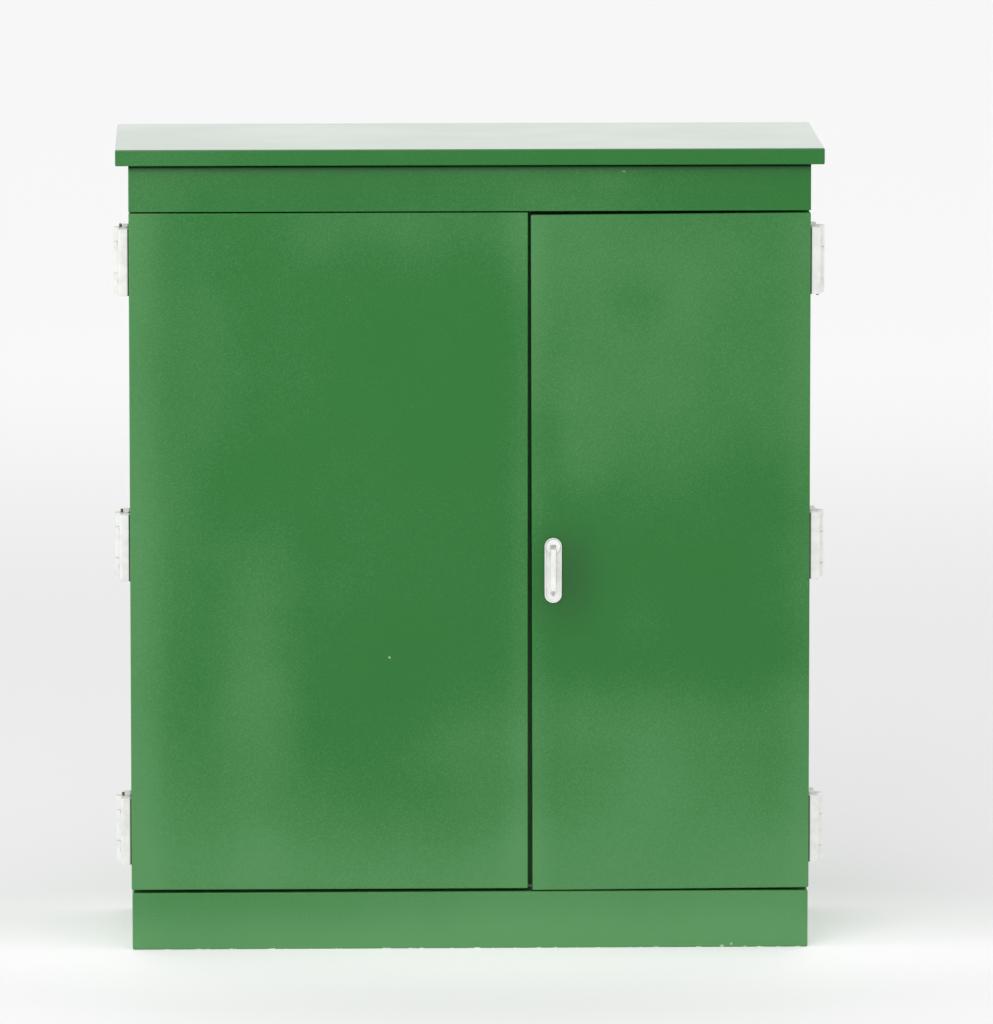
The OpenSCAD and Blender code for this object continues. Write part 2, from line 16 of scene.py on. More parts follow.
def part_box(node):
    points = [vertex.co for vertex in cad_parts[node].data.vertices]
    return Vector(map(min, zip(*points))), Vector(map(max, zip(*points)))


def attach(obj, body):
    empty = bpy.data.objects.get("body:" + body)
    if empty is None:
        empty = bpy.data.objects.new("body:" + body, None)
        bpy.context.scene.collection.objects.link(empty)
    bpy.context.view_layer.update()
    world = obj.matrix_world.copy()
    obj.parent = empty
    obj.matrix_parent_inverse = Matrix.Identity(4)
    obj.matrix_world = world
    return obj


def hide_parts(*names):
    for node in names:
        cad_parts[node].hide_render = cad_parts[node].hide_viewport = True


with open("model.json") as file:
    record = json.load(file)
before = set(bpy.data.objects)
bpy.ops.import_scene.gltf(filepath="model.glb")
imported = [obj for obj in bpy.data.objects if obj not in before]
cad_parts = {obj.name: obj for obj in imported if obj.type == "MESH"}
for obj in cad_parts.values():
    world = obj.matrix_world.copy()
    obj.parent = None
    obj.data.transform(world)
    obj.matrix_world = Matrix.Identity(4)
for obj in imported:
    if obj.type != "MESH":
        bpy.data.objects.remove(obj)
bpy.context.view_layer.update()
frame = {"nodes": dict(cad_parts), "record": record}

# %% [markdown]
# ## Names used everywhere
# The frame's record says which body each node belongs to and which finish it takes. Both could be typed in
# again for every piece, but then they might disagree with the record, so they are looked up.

scene = bpy.context.scene
nodes = frame["nodes"]
MM = 0.001
body_of_node = {n: b for b, ns in frame["record"]["behaviour"]["bodies"].items() for n in ns}
slot_of_node = {s["node"]: s["material_slot"] for s in frame["record"]["subparts"]}
SIDES = {"left": -1, "right": 1}
LEVELS = ("upper", "middle", "lower")

# %% [markdown]
# ## Camera
# Tall furniture is best seen from far away with a long lens, which keeps its upright edges upright. A camera
# can be aimed with a Track To constraint, but that leaves no roll of its own, so here the place, two angles
# and a small roll are written down and become one matrix. The camera stands 15 m off, a little to the left,
# and looks down by seven and a half degrees.

# %% Camera
LENS_MM, SENSOR_MM, SEES_TO = 365.9, 36, 200
CAMERA_PLACE = Vector((-0.3639, -15.3472, 2.6573))
LOOK_RIGHT, LOOK_DOWN, ROLL = math.radians(1.5211), math.radians(7.5370), math.radians(-0.0145)
camera_data = bpy.data.cameras.new("camera")
camera_data.lens = LENS_MM
camera_data.sensor_width = SENSOR_MM
camera_data.clip_end = SEES_TO
camera = bpy.data.objects.new("camera", camera_data)
scene.collection.objects.link(camera)
turn = Matrix.Rotation(-LOOK_RIGHT, 4, "Z") @ Matrix.Rotation(math.pi / 2 - LOOK_DOWN, 4, "X")
camera.matrix_world = Matrix.Translation(CAMERA_PLACE) @ turn @ Matrix.Rotation(ROLL, 4, "Z")
scene.camera = camera
print("camera at", [round(v, 3) for v in CAMERA_PLACE], "lens", LENS_MM)

# %% [markdown]
# ## Floor, light and room
# A wide pale floor runs back so far that it is its own backdrop. What satin paint mirrors is as important as
# the light on it: the flat roof shows the room behind it at a low angle, so the room is brighter there. The
# room could be built of walls, but a world whose brightness depends on the way a ray looks gives the same
# reflections with no geometry. Most of the light comes from it, and three large soft panels only give the
# shadows their side.

# %% Floor
FLOOR_HALF = 60.0


def studio_floor():
    """One flat square sheet."""
    bm = bmesh.new()
    bmesh.ops.create_grid(bm, x_segments=1, y_segments=1, size=FLOOR_HALF)
    mesh = bpy.data.meshes.new("studio_floor")
    bm.to_mesh(mesh)
    bm.free()
    piece = bpy.data.objects.new("studio_floor", mesh)
    scene.collection.objects.link(piece)
    return piece


floor = studio_floor()
print("floor half width", FLOOR_HALF)

# %% Light


def soft_light(name, place, target, size, power):
    """A rectangular panel that shines from place towards target."""
    data = bpy.data.lights.new(name, "AREA")
    data.shape = "RECTANGLE"
    data.size, data.size_y = size
    data.energy = power
    lamp = bpy.data.objects.new(name, data)
    scene.collection.objects.link(lamp)
    way = Vector(target) - Vector(place)
    lamp.matrix_world = Matrix.Translation(place) @ way.to_track_quat("-Z", "Y").to_matrix().to_4x4()
    print(name, "watts", power)


MIDDLE = (0, 0, 0.6)
soft_light("light_front", (-1.6, -4.6, 3.6), MIDDLE, (3.0, 2.4), 70)
soft_light("light_side", (-4.6, -0.6, 1.8), MIDDLE, (2.0, 2.4), 27)
soft_light("light_far_side", (4.8, 0.4, 2.2), MIDDLE, (2.0, 2.4), 28)

# %% Room
ROOM, ROOM_BEHIND = 0.88, 0.38
BRIGHT_BEHIND = (("Y", 0.35, 0.95), ("Z", -0.02, 0.08))


def lit_room():
    """A pale room, brighter behind the cabinet, made from the way each ray looks."""
    world = bpy.data.worlds.new("room")
    scene.world = world
    world.use_nodes = True
    tree = world.node_tree
    way = tree.nodes.new("ShaderNodeTexCoord").outputs["Generated"]
    split = tree.nodes.new("ShaderNodeSeparateXYZ")
    tree.links.new(way, split.inputs[0])
    parts = []
    for letter, low, high in BRIGHT_BEHIND:
        ramp = tree.nodes.new("ShaderNodeMapRange")
        ramp.interpolation_type = "SMOOTHSTEP"
        ramp.inputs["From Min"].default_value = low
        ramp.inputs["From Max"].default_value = high
        tree.links.new(split.outputs[letter], ramp.inputs["Value"])
        parts.append(ramp.outputs["Result"])
    both = tree.nodes.new("ShaderNodeMath")
    both.operation = "MULTIPLY"
    tree.links.new(parts[0], both.inputs[0])
    tree.links.new(parts[1], both.inputs[1])
    strength = tree.nodes.new("ShaderNodeMath")
    strength.operation = "MULTIPLY_ADD"
    tree.links.new(both.outputs[0], strength.inputs[0])
    strength.inputs[1].default_value = ROOM_BEHIND
    strength.inputs[2].default_value = ROOM
    background = tree.nodes["Background"]
    background.inputs["Color"].default_value = (1, 1, 1, 1)
    tree.links.new(strength.outputs[0], background.inputs["Strength"])


lit_room()
scene.view_settings.view_transform = "Standard"
print("room", ROOM, "and behind", ROOM + ROOM_BEHIND)

# %% [markdown]
# ## Finishes
# A finish could be an image wrapped round the piece, but an image has seams and runs out of detail up close.
# So each finish is a small tree of nodes: where on the piece a point lies, a pattern there, and what the
# pattern does to colour, gloss and relief. All patterns read the piece's own place in metres, so a noise
# scale of 1000 means features of a millimetre. The helper for this grows in three steps: wiring, mixing,
# patterns. Each method adds a node or two and gives back the socket to use next.

# %% Wiring


class Wiring:
    """A new material and its shader, with short ways to add nodes and join sockets."""

    def __init__(self, name, colour, roughness, metallic=0.0):
        self.material = bpy.data.materials.new(name)
        self.material.use_nodes = True
        self.tree = self.material.node_tree
        self.shader = self.tree.nodes["Principled BSDF"]
        self.shader.inputs["Base Color"].default_value = (*colour, 1)
        self.shader.inputs["Roughness"].default_value = roughness
        self.shader.inputs["Metallic"].default_value = metallic
        self.place = self.node("ShaderNodeTexCoord").outputs["Object"]
        self.axes = self.node("ShaderNodeSeparateXYZ")
        self.feed(self.axes.inputs[0], self.place)

    def node(self, kind, **values):
        """Adds a node and sets its options."""
        made = self.tree.nodes.new(kind)
        for key, value in values.items():
            setattr(made, key, value)
        return made

    def feed(self, socket, value):
        """Links a socket to another one, or gives it a plain value."""
        if isinstance(value, bpy.types.NodeSocket):
            self.tree.links.new(value, socket)
        else:
            socket.default_value = value

    def set(self, key, value):
        """Feeds one of the shader's sockets."""
        self.feed(self.shader.inputs[key], value)


# %% Mixing


class Mixing(Wiring):
    """Ways to turn one socket into another."""

    def ramp(self, value, low, high, to_low=0.0, to_high=1.0):
        """Stretches the part of value between low and high over to_low to to_high, with soft ends."""
        ranged = self.node("ShaderNodeMapRange", interpolation_type="SMOOTHSTEP")
        for key, number in (("Value", value), ("From Min", low), ("From Max", high), ("To Min", to_low),
                            ("To Max", to_high)):
            self.feed(ranged.inputs[key], number)
        return ranged.outputs["Result"]

    def join(self, operation, a, b):
        """One step of arithmetic."""
        made = self.node("ShaderNodeMath", operation=operation)
        self.feed(made.inputs[0], a)
        self.feed(made.inputs[1], b)
        return made.outputs[0]

    def blend(self, factor, a, b):
        """Colour a where factor is 0, and colour b where it is 1."""
        made = self.node("ShaderNodeMix", data_type="RGBA")
        self.feed(made.inputs["Factor"], factor)
        for key, colour in (("A", a), ("B", b)):
            socket = [s for s in made.inputs if s.name == key and s.type == "RGBA"][0]
            self.feed(socket, colour if isinstance(colour, bpy.types.NodeSocket) else (*colour, 1))
        return [s for s in made.outputs if s.type == "RGBA"][0]

    def relief(self, height, distance, strength=1.0):
        """Adds a bump on top of those already there."""
        bump = self.node("ShaderNodeBump")
        self.feed(bump.inputs["Height"], height)
        bump.inputs["Distance"].default_value = distance
        bump.inputs["Strength"].default_value = strength
        normal = self.shader.inputs["Normal"]
        if normal.is_linked:
            self.tree.links.new(normal.links[0].from_socket, bump.inputs["Normal"])
        self.feed(normal, bump.outputs["Normal"])


# %% Patterns


class Finish(Mixing):
    """A material being built, with patterns that read the piece's own place."""

    def scaled(self, scale, location=(0, 0, 0)):
        """The place of each point on the piece, scaled and then moved."""
        mapping = self.node("ShaderNodeMapping")
        mapping.inputs["Scale"].default_value = scale
        mapping.inputs["Location"].default_value = location
        self.feed(mapping.inputs["Vector"], self.place)
        return mapping.outputs["Vector"]

    def noise(self, scale, detail=2.0, rough=0.5, stretch=(1, 1, 1)):
        """Soft clouds between 0 and 1, about scale of them in a metre."""
        texture = self.node("ShaderNodeTexNoise")
        self.feed(texture.inputs["Vector"], self.scaled(stretch))
        for key, value in (("Scale", scale), ("Detail", detail), ("Roughness", rough)):
            self.feed(texture.inputs[key], value)
        return texture.outputs["Fac"]

    def cells(self, scale):
        """A pattern of cells, as a node, because its colour and its distance are both of use."""
        texture = self.node("ShaderNodeTexVoronoi")
        self.feed(texture.inputs["Vector"], self.place)
        self.feed(texture.inputs["Scale"], scale)
        return texture

    def spot(self, centre, half):
        """1 at centre, falling softly to 0 as far away as half says along each axis."""
        inside = self.scaled([1 / h for h in half], [-c / h for c, h in zip(centre, half)])
        length = self.node("ShaderNodeVectorMath", operation="LENGTH")
        self.feed(length.inputs[0], inside)
        return self.ramp(length.outputs["Value"], 0, 1, 1, 0)


finishes = {}

# %% [markdown]
# ### Green paint
# The sheet is sprayed with a satin enamel. Up close the spray leaves a fine grain and a few nibs of dust.
# From a step back there is a pale haze on it. Part of it is overspray, in faint clouds. The rest is painted
# light and shade: paler towards the ground and at some edges, where it stands for light from the floor and the
# lamps, and darker in some patches. The haze could be one large noise, but noise doesn't know where a door
# ends. So it is a list of soft ramps along an axis and soft spots, all in metres, with only faint clouds over
# them.

# %% What lies on the paint
GREEN = (0.0035, 0.150, 0.0115)
# The pale colour of the haze, which is partly overspray and partly painted light.
HAZE_AND_PAINTED_LIGHT = (0.32, 0.645, 0.32)
MOST_HAZE_AND_PAINTED_LIGHT = 0.2
PRIMER = (0.78, 0.80, 0.76)
DUST = (0.125, 0.145, 0.120)
SHADE = (0.0002, 0.020, 0.001)
CHIPS_UP_TO = 5 * MM


def overspray_and_painted_light(finish, clouds, grain, ramps, spots):
    """How much pale haze lies at each point: faint clouds of overspray, plus ramps and spots of painted light
    and shade, added up, then broken up by the grain.
    """
    haze_and_painted_light = finish.ramp(clouds, 0.32, 0.70, -0.12, 0.16)
    for letter, low, high, amount in ramps:
        haze_and_painted_light = finish.join("ADD", haze_and_painted_light, finish.ramp(finish.axes.outputs[letter], low, high, 0, amount))
    for centre, half, amount in spots:
        haze_and_painted_light = finish.join("ADD", haze_and_painted_light, finish.join("MULTIPLY", finish.spot(centre, half), amount))
    haze_and_painted_light = finish.join("ADD", haze_and_painted_light, finish.ramp(grain, 0.42, 0.8, -0.16, 0.5))
    haze_and_painted_light.node.use_clamp = True
    return haze_and_painted_light


def dust_nibs(finish):
    """Small raised specks, one in some of the cells of a pattern."""
    speck = finish.ramp(finish.cells(38).outputs["Distance"], 0.0, 0.035, 1, 0)
    chosen = finish.join("GREATER_THAN", finish.noise(90, 0), 0.66)
    return finish.join("MULTIPLY", speck, chosen)


def worn_to_primer(finish, colour, chips, flakes):
    """Lets the primer show in small chips along the bottom edge and in single flakes."""
    if chips:
        low = finish.ramp(finish.axes.outputs["Z"], 0.0, CHIPS_UP_TO, 1, 0)
        chip = finish.join("GREATER_THAN", finish.join("MULTIPLY", low, finish.noise(95, 2)), 0.58)
        colour = finish.blend(chip, colour, PRIMER)
    for centre, half, amount in flakes:
        colour = finish.blend(finish.join("MULTIPLY", finish.spot(centre, half), amount), colour, PRIMER)
    return colour


# %% Green paint


def green_paint(name, ramps=(), spots=(), flakes=(), shades=(), chips=False, lacquer=0.0, dust=0.0,
                most=MOST_HAZE_AND_PAINTED_LIGHT):
    """The green enamel: overspray haze with painted light and shade first, then dust, then the primer that
    shows, then painted shade.
    """
    finish = Finish(name, GREEN, 0.4)
    clouds = finish.noise(3.3, 3)
    waves = finish.noise(24, 2)
    grain = finish.noise(560, 3, 0.7)
    haze_and_painted_light = overspray_and_painted_light(finish, clouds, grain, ramps, spots)
    # Pales the green by the haze, which is partly overspray and partly painted light and shade.
    colour = finish.blend(finish.join("MULTIPLY", haze_and_painted_light, most), GREEN, HAZE_AND_PAINTED_LIGHT)
    if dust:
        colour = finish.blend(finish.ramp(clouds, 0.3, 0.7, 0.7 * dust, dust), colour, DUST)
    colour = worn_to_primer(finish, colour, chips, flakes)
    for shade in shades:
        colour = finish.blend(shade(finish), colour, SHADE)
    finish.set("Base Color", colour)
    finish.set("Roughness", finish.ramp(clouds, 0.3, 0.7, 0.33, 0.43))
    finish.relief(grain, 0.12 * MM, 0.5)
    finish.relief(waves, 0.6 * MM, 0.10)
    finish.relief(dust_nibs(finish), 0.4 * MM, 0.5)
    finish.set("Coat Weight", lacquer)
    finish.set("Coat Roughness", 0.25)
    return finish.material


# Paler towards the ground: painted light from the floor.
finishes["green_paint"] = green_paint("green_paint", [("Z", 0.35, 0.1, 0.4)])
# The roof's lip is paler at its left end: painted light.
finishes["roof_paint"] = green_paint("roof_paint", [("X", -0.3, -0.5, 0.16)])
roof_top_paint = green_paint("roof_top_paint", lacquer=1.0, dust=0.45)
print("green paints", *finishes, roof_top_paint.name)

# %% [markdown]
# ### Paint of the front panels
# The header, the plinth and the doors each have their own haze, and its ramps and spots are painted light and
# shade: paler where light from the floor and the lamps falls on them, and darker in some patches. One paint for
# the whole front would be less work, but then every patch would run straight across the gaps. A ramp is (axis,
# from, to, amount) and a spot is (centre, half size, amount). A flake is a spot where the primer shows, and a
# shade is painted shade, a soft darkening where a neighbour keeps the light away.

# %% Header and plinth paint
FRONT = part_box("door_left")[0].y
header_low, header_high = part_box("header_fascia")


def under_the_roof(finish):
    """Shade along the header's top edge."""
    from_z, to_z = header_high.z - 11.5 * MM, header_high.z - 3.5 * MM
    return finish.ramp(finish.axes.outputs["Z"], from_z, to_z, 0, 0.6)


# The header's paler left end and wide patch are painted light. The small spot and the flake are a scuff, and
# the shade under the roof is painted shade.
header_paint = green_paint(
    "header_paint", [("X", -0.36, -0.5, 0.22)],
    [((0.16, FRONT, 1.13), (0.36, 0.2, 0.2), 0.28), ((0.21, FRONT, 1.137), (0.05, 0.02, 0.02), 0.12)],
    flakes=[((0.2255, FRONT, 1.153), (0.0045, 0.02, 0.0022), 0.28)],
    shades=[under_the_roof])
# The plinth grows paler towards the ground: painted light from the floor. The chips and flakes are wear.
plinth_paint = green_paint(
    "plinth_paint", [("Z", 0.3, 0.1, 0.66), ("Z", 0.085, 0.0, 0.46)],
    flakes=[((0.276, FRONT, 0.0005), (0.005, 0.02, 0.002), 0.7),
            ((0.372, FRONT, 0.001), (0.0045, 0.02, 0.0045), 0.7),
            ((0.386, FRONT, 0.005), (0.0025, 0.02, 0.003), 0.6),
            ((0.406, FRONT, 0.001), (0.004, 0.02, 0.002), 0.6)],
    chips=True, most=0.25)
print(header_paint.name, plinth_paint.name)

# %% Left door's paint
# The left door's paler edges, bottom, top and patches are painted light. Its spots with negative amounts are
# painted shade.
left_door_paint = green_paint(
    "left_door_paint",
    [("X", -0.30, -0.40, 0.14), ("X", -0.43, -0.50, 0.50), ("X", 0.03, 0.083, 0.32),
     ("Z", 0.42, 0.22, 0.30), ("Z", 0.26, 0.10, 0.50), ("Z", 0.98, 1.08, 0.28)],
    [((-0.315, FRONT, 0.42), (0.10, 0.3, 0.34), 0.54), ((-0.40, FRONT, 1.08), (0.22, 0.3, 0.12), -0.34),
     ((0.03, FRONT, 0.33), (0.17, 0.3, 0.17), 0.34), ((-0.47, FRONT, 0.52), (0.12, 0.3, 0.28), 0.24),
     ((-0.31, FRONT, 0.12), (0.09, 0.3, 0.10), 0.28), ((-0.22, FRONT, 0.605), (0.07, 0.3, 0.07), -0.18)],
    flakes=[((-0.119, FRONT, 0.435), (0.0026, 0.02, 0.0026), 0.6)])
print(left_door_paint.name)

# %% Right door's paint
dish_low, dish_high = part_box("handle_dish")
dish_middle = (dish_low + dish_high) / 2


def beside_the_handle(finish):
    """Shade on the sheet round the handle, most of it to the right and below."""
    centre = (dish_middle.x + 20 * MM, FRONT, dish_middle.z - 11 * MM)
    return finish.join("MULTIPLY", finish.spot(centre, (78 * MM, 300 * MM, 120 * MM)), 0.36)


# The right door's paler edges, lower and upper parts and patches are painted light. Its spots with negative
# amounts and the shade round the handle are painted shade.
right_door_paint = green_paint(
    "right_door_paint",
    [("X", 0.13, 0.09, 0.28), ("X", 0.44, 0.50, 0.22), ("Z", 0.46, 0.34, 0.34), ("Z", 0.30, 0.10, 0.40),
     ("Z", 0.62, 0.84, 0.46)],
    [((0.150, FRONT, 0.55), (0.11, 0.3, 0.13), -0.4), ((0.25, FRONT, 0.96), (0.07, 0.2, 0.08), -0.24),
     ((0.10, FRONT, 0.80), (0.05, 0.2, 0.16), -0.26), ((0.162, FRONT, 0.724), (0.08, 0.2, 0.08), 0.22),
     ((0.25, FRONT, 0.485), (0.07, 0.2, 0.07), 0.20), ((0.27, FRONT, 0.30), (0.22, 0.3, 0.16), 0.30),
     ((0.368, FRONT, 0.56), (0.07, 0.2, 0.08), -0.10)],
    shades=[beside_the_handle])
print(right_door_paint.name)

# %% [markdown]
# ### Castings
# The hinges and the handle are castings with a thin pale paint. Shade is painted into it in two places only: in
# the crack beside the side sheets, and at the top of the handle's dish, where the rim keeps the light away. A
# pattern that finds every corner could lay it everywhere, but here the paint is given a function that says how
# much painted shade there is at each point.

# %% Pale paint
# The colour of the painted shade on the castings.
PAINTED_SHADE_COLOUR = (0.05, 0.045, 0.035)


def dimmed(colour, share):
    """A colour at a share of its brightness."""
    return tuple(share * c for c in colour)


def pale_paint(name, colour, roughness, painted_shade):
    """Pale paint with faint stains, and with as much painted shade at each point as the given function says."""
    finish = Finish(name, colour, roughness)
    stains = finish.ramp(finish.noise(60, 3), 0.35, 0.75)
    sheen = finish.ramp(finish.noise(140, 2), 0.3, 0.7, roughness - 0.06, roughness + 0.08)
    grain = finish.noise(420, 3, 0.6)
    stained = finish.blend(stains, colour, dimmed(colour, 0.88))
    finish.set("Base Color", finish.blend(painted_shade(finish), stained, PAINTED_SHADE_COLOUR))
    finish.set("Roughness", sheen)
    finish.relief(grain, 0.12 * MM, 0.4)
    return finish.material


# %% Castings
SIDE_OF_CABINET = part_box("side_panel_right")[1].x
POCKET = (dish_middle.x + 1 * MM, dish_low.y + 1 * MM, dish_high.z - 13.5 * MM)
POCKET_HALF = (5 * MM, 30 * MM, 4.5 * MM)


def beside_the_sheet(finish):
    """Painted shade in the crack between a hinge and the side of the cabinet."""
    away = finish.join("ABSOLUTE", finish.axes.outputs["X"], 0.0)
    return finish.ramp(away, SIDE_OF_CABINET + 0.8 * MM, SIDE_OF_CABINET + 2.8 * MM, 0.95, 0.0)


def in_the_pocket(finish):
    """Painted shade at the top of the handle's dish, over the lever."""
    return finish.join("MULTIPLY", finish.spot(POCKET, POCKET_HALF), 0.34)


finishes["hinge_casting"] = pale_paint("hinge_casting", (0.78, 0.79, 0.76), 0.42, beside_the_sheet)
finishes["handle_paint"] = pale_paint("handle_paint", (0.865, 0.875, 0.85), 0.34, in_the_pocket)
print("finishes", len(finishes))

# %% [markdown]
# ### Metals
# Inside, the sheet is coated with zinc, whose crystals are flat cells of slightly different greys, and a
# Voronoi pattern is made of such cells. Fittings were drawn or turned, which leaves fine lines one way. An
# anisotropic shader could show them, but it needs a direction on every face, so a stretched noise draws them.

# %% Metals


def sheet_zinc(name, colour, scale):
    """Zinc crystals: flat cells, each with its own grey and gloss."""
    finish = Finish(name, colour, 0.4, 0.85)
    shade = finish.ramp(finish.cells(scale).outputs["Color"], 0, 1)
    finish.set("Base Color", finish.blend(shade, dimmed(colour, 0.8), colour))
    finish.set("Roughness", finish.ramp(shade, 0, 1, 0.32, 0.52))
    finish.relief(finish.noise(300, 2), 0.1 * MM, 0.3)
    return finish.material


def worked_metal(name, colour, roughness, stretch):
    """Drawn or turned metal: fine lines along the way it was worked."""
    finish = Finish(name, colour, roughness, 1.0)
    lines = finish.noise(900, 2, 0.6, stretch)
    finish.set("Base Color", finish.blend(lines, dimmed(colour, 0.75), colour))
    finish.set("Roughness", finish.ramp(lines, 0.3, 0.7, roughness - 0.08, roughness + 0.1))
    finish.relief(lines, 0.05 * MM, 0.4)
    return finish.material


finishes["galvanised"] = sheet_zinc("galvanised", (0.56, 0.57, 0.58), 90)
finishes["zinc_sheet"] = sheet_zinc("zinc_sheet", (0.66, 0.67, 0.68), 140)
finishes["plated_steel"] = worked_metal("plated_steel", (0.64, 0.63, 0.60), 0.3, (1, 1, 0.05))
drawn_steel = worked_metal("drawn_steel", (0.60, 0.605, 0.61), 0.36, (0.04, 1, 1))
finishes["pin_steel"] = worked_metal("pin_steel", (0.23, 0.17, 0.12), 0.5, (1, 1, 0.3))
finishes["lock_steel"] = worked_metal("lock_steel", (0.80, 0.79, 0.76), 0.32, (1, 0.2, 1))
finishes["copper"] = worked_metal("copper", (0.68, 0.31, 0.17), 0.34, (0.05, 1, 1))
print("finishes", len(finishes))

# %% [markdown]
# ### Rubber and plastics
# The seals are rubber and the switchgear is moulded. A mould leaves an even fine grain, and use leaves faint
# clouds of gloss. Each could have a tree of its own, but one recipe with other numbers serves them all.

# %% Rubber and plastics


def moulded(name, colour, roughness, grain):
    """Rubber or plastic: faint clouds, and the fine grain of the mould."""
    finish = Finish(name, colour, roughness)
    clouds = finish.noise(40, 2)
    finish.set("Base Color", finish.blend(clouds, dimmed(colour, 0.88), colour))
    finish.set("Roughness", finish.ramp(clouds, 0.3, 0.7, roughness - 0.05, roughness + 0.05))
    finish.relief(finish.noise(grain, 2), 0.08 * MM, 0.5)
    return finish.material


finishes["seal_rubber"] = moulded("seal_rubber", (0.018, 0.018, 0.018), 0.7, 800)
finishes["black_plastic"] = moulded("black_plastic", (0.03, 0.03, 0.033), 0.5, 1100)
finishes["pale_plastic"] = moulded("pale_plastic", (0.68, 0.68, 0.65), 0.42, 1300)
finishes["toggle_plastic"] = moulded("toggle_plastic", (0.035, 0.045, 0.08), 0.35, 1300)
finishes["grey_plastic"] = moulded("grey_plastic", (0.27, 0.30, 0.32), 0.5, 1200)
finishes["red_plastic"] = moulded("red_plastic", (0.5, 0.025, 0.018), 0.3, 1400)
print("finishes", len(finishes))

# %% [markdown]
# ### Floor paper
# The floor is a sweep of paper with light and shade painted into its colour. It is nearly white round the
# cabinet's foot, which is painted light, a little greyer behind it, which is a painted shadow, and white again
# far back, where it stands for the wall. One plain colour could do, but the light on it isn't even. Round the
# foot the paper also gives off a little light, a painted glow which keeps the shadow there soft.

# %% Floor paper
# The paper's own colour, a painted shadow behind the cabinet, and white far back.
PAPER, PAPER_PAINTED_SHADOW, PAPER_FAR = (0.905, 0.895, 0.905), (0.815, 0.81, 0.815), (0.99,) * 3
# Painted light round the cabinet's foot.
PAPER_PAINTED_LIGHT = (0.985, 0.965, 0.985)
FOOT, FOOT_HALF, FOOT_GLOW = (0, -0.12, 0), (1.12, 0.62, 1), 0.20
BEHIND, FAR = (-0.30, 0.10), (2.6, 7.4)
paper = Finish("floor_paper", PAPER, 0.8)
# Where the painted light and the painted glow round the foot lie.
near = paper.spot(FOOT, FOOT_HALF)
# A painted shadow behind the cabinet.
colour = paper.blend(paper.ramp(paper.axes.outputs["Y"], *BEHIND), PAPER, PAPER_PAINTED_SHADOW)
colour = paper.blend(near, colour, PAPER_PAINTED_LIGHT)
colour = paper.blend(paper.ramp(paper.axes.outputs["Y"], *FAR), colour, PAPER_FAR)
paper.set("Base Color", colour)
paper.set("Emission Color", (1, 0.98, 1, 1))
# The paper glows round the foot: painted light.
paper.set("Emission Strength", paper.join("MULTIPLY", near, FOOT_GLOW))
paper.set("Specular IOR Level", 0.2)
paper.relief(paper.noise(700, 2), 0.1 * MM, 0.1)
floor.data.materials.append(paper.material)
print(paper.material.name)

# %% [markdown]
# ### Each node's finish
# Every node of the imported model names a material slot. The finishes could be given out by hand, but a node
# that was forgotten would stay plain, so each is looked up by its slot's name.

# %% Finishes on the nodes
for name, piece in nodes.items():
    piece.data.materials.clear()
    piece.data.materials.append(finishes[slot_of_node[name]])
print("nodes with a finish", len(nodes))

# %% [markdown]
# ## Softening an edge
# No folded sheet or casting has a razor edge, and the bright line along a rounded edge is what makes a piece
# look real. A Bevel modifier could round them all by one radius, but a fold is rounder than a cut, so the
# operator is used, which takes only the edges that it is given. Each piece starts from its own solid: the
# loose triangles are merged, flat triangles are joined into plain faces, and then the chosen edges are
# bevelled. A groove is cut by slicing a piece at the groove's two sides and pushing the strip of faces
# between them inwards.

# %% Adding a piece
SHARP = math.radians(50)


def add_piece(name, bm, slot, body, stands_for=(), material=None):
    """Writes a bmesh to a piece that rides on a body and stands for some nodes."""
    mesh = bpy.data.meshes.new(name)
    bm.to_mesh(mesh)
    bm.free()
    mesh.shade_smooth()
    mesh.set_sharp_from_angle(angle=SHARP)
    mesh.materials.append(material or finishes[slot])
    piece = bpy.data.objects.new(name, mesh)
    scene.collection.objects.link(piece)
    piece.modifiers.new("even_shading", "WEIGHTED_NORMAL").keep_sharp = True
    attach(piece, body)
    if stands_for:
        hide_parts(*stands_for)
    return piece


# %% Choosing edges
CLOSE = 0.1 * MM


def is_sharp(edge, degrees=35):
    """Whether an edge's two faces meet at more than so many degrees."""
    return len(edge.link_faces) == 2 and edge.calc_face_angle() > math.radians(degrees)


def middle(edge):
    """The point half-way along an edge."""
    return (edge.verts[0].co + edge.verts[1].co) / 2


def on_outer_box(lo, hi):
    """A test for edges that run along an edge of the box from lo to hi."""
    def test(edge):
        hits = sum(min(abs(middle(edge)[i] - lo[i]), abs(middle(edge)[i] - hi[i])) < CLOSE for i in range(3))
        return is_sharp(edge) and hits >= 2
    return test


# %% Rounding edges
SAME_POINT, FLAT = 0.001 * MM, math.radians(0.5)


def merged_copy(node):
    """A node's solid with its triangles joined into plain faces."""
    bm = bmesh.new()
    bm.from_mesh(nodes[node].data)
    bmesh.ops.remove_doubles(bm, verts=bm.verts, dist=SAME_POINT)
    bmesh.ops.dissolve_limit(bm, angle_limit=FLAT, verts=bm.verts, edges=bm.edges)
    return bm


def round_edges(bm, radius, segments=3, test=is_sharp):
    """Bevels the edges that pass the test, and says how many they were."""
    edges = [e for e in bm.edges if test(e)]
    if edges:
        bmesh.ops.bevel(bm, geom=edges, offset=radius, segments=segments, profile=0.5, affect="EDGES",
                        material=-1, clamp_overlap=True)
    return len(edges)


def soften(node, name, radius, segments=3, test=is_sharp, material=None):
    """A copy of a node with rounded edges, in its place."""
    bm = merged_copy(node)
    count = round_edges(bm, radius, segments, test)
    print(name, "edges rounded", count, "faces", len(bm.faces))
    return add_piece(name, bm, slot_of_node[node], body_of_node[node], [node], material)


# %% Cutting a groove


